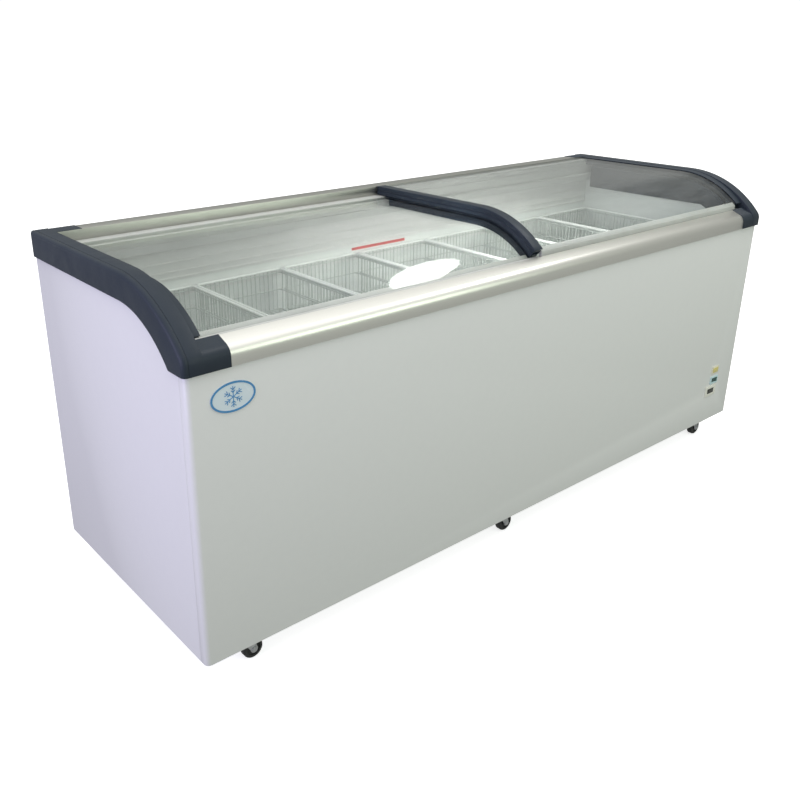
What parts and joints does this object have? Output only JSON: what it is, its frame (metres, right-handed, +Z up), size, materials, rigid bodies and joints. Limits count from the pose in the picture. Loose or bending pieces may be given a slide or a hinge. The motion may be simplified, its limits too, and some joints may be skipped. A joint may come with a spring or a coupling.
{
  "type": "chest freezer",
  "caption": "Long display chest freezer on casters with a curved glass top of sliding lids, wire baskets inside and a compressor bay at one end.",
  "frame": {"origin": "on the floor, under the middle of the cabinet", "axes": "+X along the cabinet to the right, +Y to the back, +Z up"},
  "size_m": [2.062, 0.702, 0.866],
  "materials": {
    "white_steel": "satin powder coat",
    "zinc_steel": "zinc plated",
    "foam": "rigid polyurethane foam",
    "liner": "white embossed sheet",
    "white_plastic": "white moulding",
    "dark_plastic": "navy-charcoal moulding",
    "rail_aluminium": "satin anodised",
    "ledge_plastic": "grey extrusion",
    "lid_glass": "toughened clear glass",
    "basket_wire": "white coated wire",
    "wheel_black": "black tread",
    "copper": "drawn copper tube",
    "fin_aluminium": "mill finish",
    "black_enamel": "black enamel",
    "black_plastic": "black moulding",
    "grommet_rubber": "rubber",
    "display": "cream surround, dark window",
    "light": "amber lens",
    "switch": "pale cyan surround",
    "rocker": "dark green"
  },
  "bodies": {
    "root": {"base_pan": "zinc_steel", "front_panel": "white_steel", "left_side_panel": "white_steel", "right_side_panel": "white_steel", "rear_panel": "white_steel", "foam_insulation": "foam", "inner_liner": "liner", "evaporator_coil": "copper", "liner_collar": "white_plastic", "basket_ledges": "white_plastic", "drain_tube": "white_plastic", "end_cap_left": "dark_plastic", "end_cap_right": "dark_plastic", "front_rail": "rail_aluminium", "rear_rail": "rail_aluminium", "front_lid_track": "ledge_plastic", "rear_lid_track": "ledge_plastic", "caster_plates": "zinc_steel", "temperature_display": "display", "indicator_light": "light", "switch_frame": "switch", "compressor": "black_enamel", "compressor_mounts": "grommet_rubber", "electrical_box": "black_plastic", "condenser": "fin_aluminium", "fan_shroud": "zinc_steel", "fan_motor": "black_enamel", "refrigerant_lines": "copper", "power_inlet": "black_plastic", "vent_grilles": "black_plastic", "panel_screws": "zinc_steel"},
    "left_lid": {"left_lid_glass": "lid_glass", "left_lid_outer_frame": "dark_plastic", "left_lid_inner_frame": "dark_plastic", "left_lid_runners": "black_plastic"},
    "right_lid": {"right_lid_glass": "lid_glass", "right_lid_handle_frame": "dark_plastic", "right_lid_end_frame": "dark_plastic", "right_lid_runners": "black_plastic"},
    "fan": {"fan_blade": "fin_aluminium"},
    "rocker": {"power_rocker": "rocker"},
    "basket_1": {"basket_1": "basket_wire"},
    "basket_2": {"basket_2": "basket_wire"},
    "basket_3": {"basket_3": "basket_wire"},
    "basket_4": {"basket_4": "basket_wire"},
    "basket_5": {"basket_5": "basket_wire"},
    "basket_6": {"basket_6": "basket_wire"},
    "basket_7": {"basket_7": "basket_wire"},
    "fork_1": {"caster_fork_1": "zinc_steel"},
    "wheel_1": {"caster_wheel_1": "wheel_black"},
    "fork_2": {"caster_fork_2": "zinc_steel"},
    "wheel_2": {"caster_wheel_2": "wheel_black"},
    "fork_3": {"caster_fork_3": "zinc_steel"},
    "wheel_3": {"caster_wheel_3": "wheel_black"},
    "fork_4": {"caster_fork_4": "zinc_steel"},
    "wheel_4": {"caster_wheel_4": "wheel_black"},
    "fork_5": {"caster_fork_5": "zinc_steel"},
    "wheel_5": {"caster_wheel_5": "wheel_black"},
    "fork_6": {"caster_fork_6": "zinc_steel"},
    "wheel_6": {"caster_wheel_6": "wheel_black"}
  },
  "joints": [
    {"name": "left_lid_slide", "type": "slide", "parent": "root", "child": "left_lid", "axis": [1, 0, 0], "range_m": [0, 0.895]},
    {"name": "right_lid_slide", "type": "slide", "parent": "root", "child": "right_lid", "axis": [-1, 0, 0], "range_m": [0, 0.93]},
    {"name": "basket_lift_1", "type": "slide", "parent": "root", "child": "basket_1", "axis": [0, 0, 1], "range_m": [0, 0.045]},
    {"name": "basket_lift_2", "type": "slide", "parent": "root", "child": "basket_2", "axis": [0, 0, 1], "range_m": [0, 0.045]},
    {"name": "basket_lift_3", "type": "slide", "parent": "root", "child": "basket_3", "axis": [0, 0, 1], "range_m": [0, 0.045]},
    {"name": "basket_lift_4", "type": "slide", "parent": "root", "child": "basket_4", "axis": [0, 0, 1], "range_m": [0, 0.045]},
    {"name": "basket_lift_5", "type": "slide", "parent": "root", "child": "basket_5", "axis": [0, 0, 1], "range_m": [0, 0.045]},
    {"name": "basket_lift_6", "type": "slide", "parent": "root", "child": "basket_6", "axis": [0, 0, 1], "range_m": [0, 0.045]},
    {"name": "basket_lift_7", "type": "slide", "parent": "root", "child": "basket_7", "axis": [0, 0, 1], "range_m": [0, 0.045]},
    {"name": "caster_swivel_1", "type": "hinge", "parent": "root", "child": "fork_1", "pos_m": [-0.905, -0.3, 0.0585], "axis": [0, 0, 1], "continuous": true},
    {"name": "wheel_spin_1", "type": "hinge", "parent": "fork_1", "child": "wheel_1", "pos_m": [-0.889, -0.3, 0.025], "axis": [0, 1, 0], "continuous": true},
    {"name": "caster_swivel_2", "type": "hinge", "parent": "root", "child": "fork_2", "pos_m": [-0.075, -0.3, 0.0585], "axis": [0, 0, 1], "continuous": true},
    {"name": "wheel_spin_2", "type": "hinge", "parent": "fork_2", "child": "wheel_2", "pos_m": [-0.059, -0.3, 0.025], "axis": [0, 1, 0], "continuous": true},
    {"name": "caster_swivel_3", "type": "hinge", "parent": "root", "child": "fork_3", "pos_m": [0.895, -0.3, 0.0585], "axis": [0, 0, 1], "continuous": true},
    {"name": "wheel_spin_3", "type": "hinge", "parent": "fork_3", "child": "wheel_3", "pos_m": [0.911, -0.3, 0.025], "axis": [0, 1, 0], "continuous": true},
    {"name": "caster_swivel_4", "type": "hinge", "parent": "root", "child": "fork_4", "pos_m": [-0.905, 0.3, 0.0585], "axis": [0, 0, 1], "continuous": true},
    {"name": "wheel_spin_4", "type": "hinge", "parent": "fork_4", "child": "wheel_4", "pos_m": [-0.889, 0.3, 0.025], "axis": [0, 1, 0], "continuous": true},
    {"name": "caster_swivel_5", "type": "hinge", "parent": "root", "child": "fork_5", "pos_m": [-0.075, 0.3, 0.0585], "axis": [0, 0, 1], "continuous": true},
    {"name": "wheel_spin_5", "type": "hinge", "parent": "fork_5", "child": "wheel_5", "pos_m": [-0.059, 0.3, 0.025], "axis": [0, 1, 0], "continuous": true},
    {"name": "caster_swivel_6", "type": "hinge", "parent": "root", "child": "fork_6", "pos_m": [0.895, 0.3, 0.0585], "axis": [0, 0, 1], "continuous": true},
    {"name": "wheel_spin_6", "type": "hinge", "parent": "fork_6", "child": "wheel_6", "pos_m": [0.911, 0.3, 0.025], "axis": [0, 1, 0], "continuous": true},
    {"name": "fan_spin", "type": "hinge", "parent": "root", "child": "fan", "pos_m": [0.924, -0.085, 0.19], "axis": [1, 0, 0], "continuous": true},
    {"name": "power_rocker_press", "type": "hinge", "parent": "root", "child": "rocker", "pos_m": [0.912, -0.344, 0.212], "axis": [0, 0, 1], "range_deg": [0, 16]}
  ]
}
